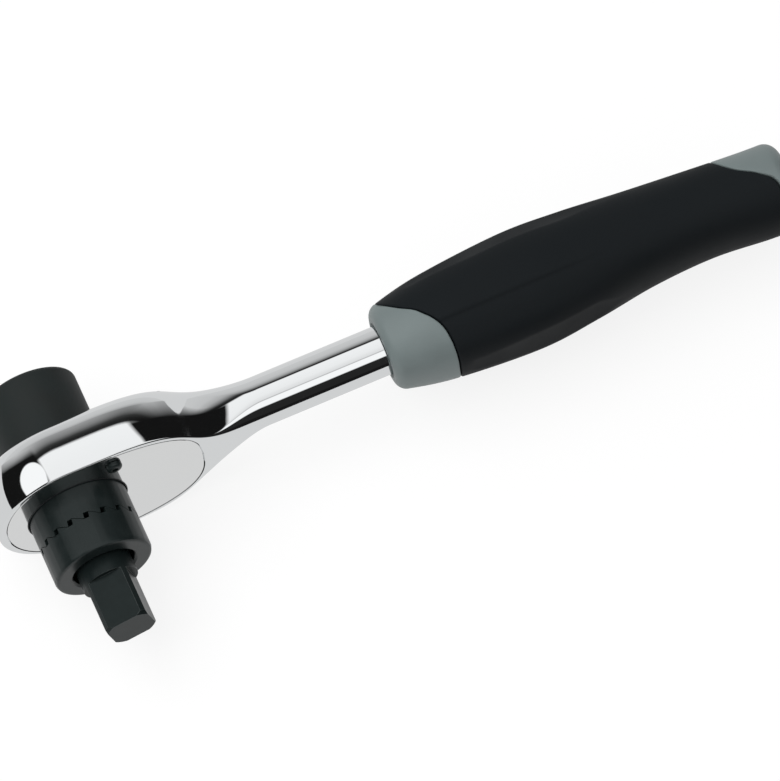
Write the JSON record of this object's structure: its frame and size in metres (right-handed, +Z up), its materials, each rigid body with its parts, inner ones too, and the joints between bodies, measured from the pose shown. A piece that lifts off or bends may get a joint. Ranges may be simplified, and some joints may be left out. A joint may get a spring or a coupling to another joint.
{
  "type": "torque limiting ratchet",
  "caption": "Reversible ratchet wrench with a sawtooth overload clutch and square drive on a chromed pear head, a rear spring housing and a two-tone soft grip.",
  "frame": {"origin": "centre of the drive square's end face", "axes": "+X along the handle towards the grip's end, -Y the way the drive square points, +Z up with the tool lying on its flank"},
  "size_m": [0.1866, 0.0599, 0.0368],
  "materials": {
    "chrome_forging": "mirror chrome plate",
    "polished_plate": "polished chrome plate",
    "black_oxide": "black oxide, satin",
    "knob_black": "black oxide, matt",
    "hard_steel": "ground steel",
    "spring_steel": "oiled spring steel",
    "seal_rubber": "black nitrile rubber",
    "grip_grey": "grey moulded plastic, matt",
    "grip_black": "black soft overmould, matt"
  },
  "bodies": {
    "handle": {"ratchet_body": "chrome_forging", "cover_plate": "polished_plate", "hub_seal": "seal_rubber", "cover_screw_1": "black_oxide", "cover_screw_2": "black_oxide", "grip_core": "grip_grey", "grip_sleeve": "grip_black"},
    "hub": {"clutch_hub": "black_oxide", "ratchet_gear": "hard_steel", "rear_knob": "knob_black"},
    "spring_seat": {"thrust_washer": "hard_steel", "disc_spring_1": "spring_steel", "disc_spring_2": "spring_steel", "disc_spring_3": "spring_steel", "disc_spring_4": "spring_steel", "disc_spring_5": "spring_steel", "disc_spring_6": "spring_steel"},
    "output": {"set_nut": "hard_steel", "drive_spindle": "black_oxide", "clutch_ring": "black_oxide", "detent_spring": "spring_steel"},
    "detent": {"detent_ball": "hard_steel"},
    "lever": {"reverse_lever": "black_oxide", "lever_clip": "spring_steel", "lever_ball": "hard_steel", "lever_spring": "spring_steel"},
    "pawl": {"pawl": "hard_steel"}
  },
  "joints": [
    {"name": "drive_spin", "type": "hinge", "parent": "handle", "child": "hub", "pos_m": [0, 0.03715, 0], "axis": [0, -1, 0], "continuous": true},
    {"name": "clutch_slip", "type": "hinge", "parent": "hub", "child": "spring_seat", "pos_m": [0, 0.03715, 0], "axis": [0, 1, 0], "range_deg": [0, 11.5]},
    {"name": "clutch_lift", "type": "slide", "parent": "spring_seat", "child": "output", "axis": [0, -1, 0], "range_m": [0, 0.0012], "stiffness_N_per_m": 1000, "deforming": ["disc_spring_1", "disc_spring_2", "disc_spring_3", "disc_spring_4", "disc_spring_5", "disc_spring_6"]},
    {"name": "detent_press", "type": "slide", "parent": "output", "child": "detent", "axis": [-0.2164, 0, 0.9763], "range_m": [0, 0.0006], "stiffness_N_per_m": 400, "springref_m": -0.0004, "deforming": ["detent_spring"]},
    {"name": "lever_turn", "type": "hinge", "parent": "handle", "child": "lever", "pos_m": [0.0205, 0.03715, 0], "axis": [0, 1, 0], "range_deg": [0, 56]},
    {"name": "pawl_rock", "type": "hinge", "parent": "handle", "child": "pawl", "pos_m": [0.0205, 0.03715, 0], "axis": [0, 1, 0], "range_deg": [0, 11]}
  ],
  "couplings": [
    {"joint": "clutch_slip", "follows": "clutch_lift", "rad_per_m": 167},
    {"joint": "pawl_rock", "follows": "lever_turn", "ratio": 0.196}
  ]
}
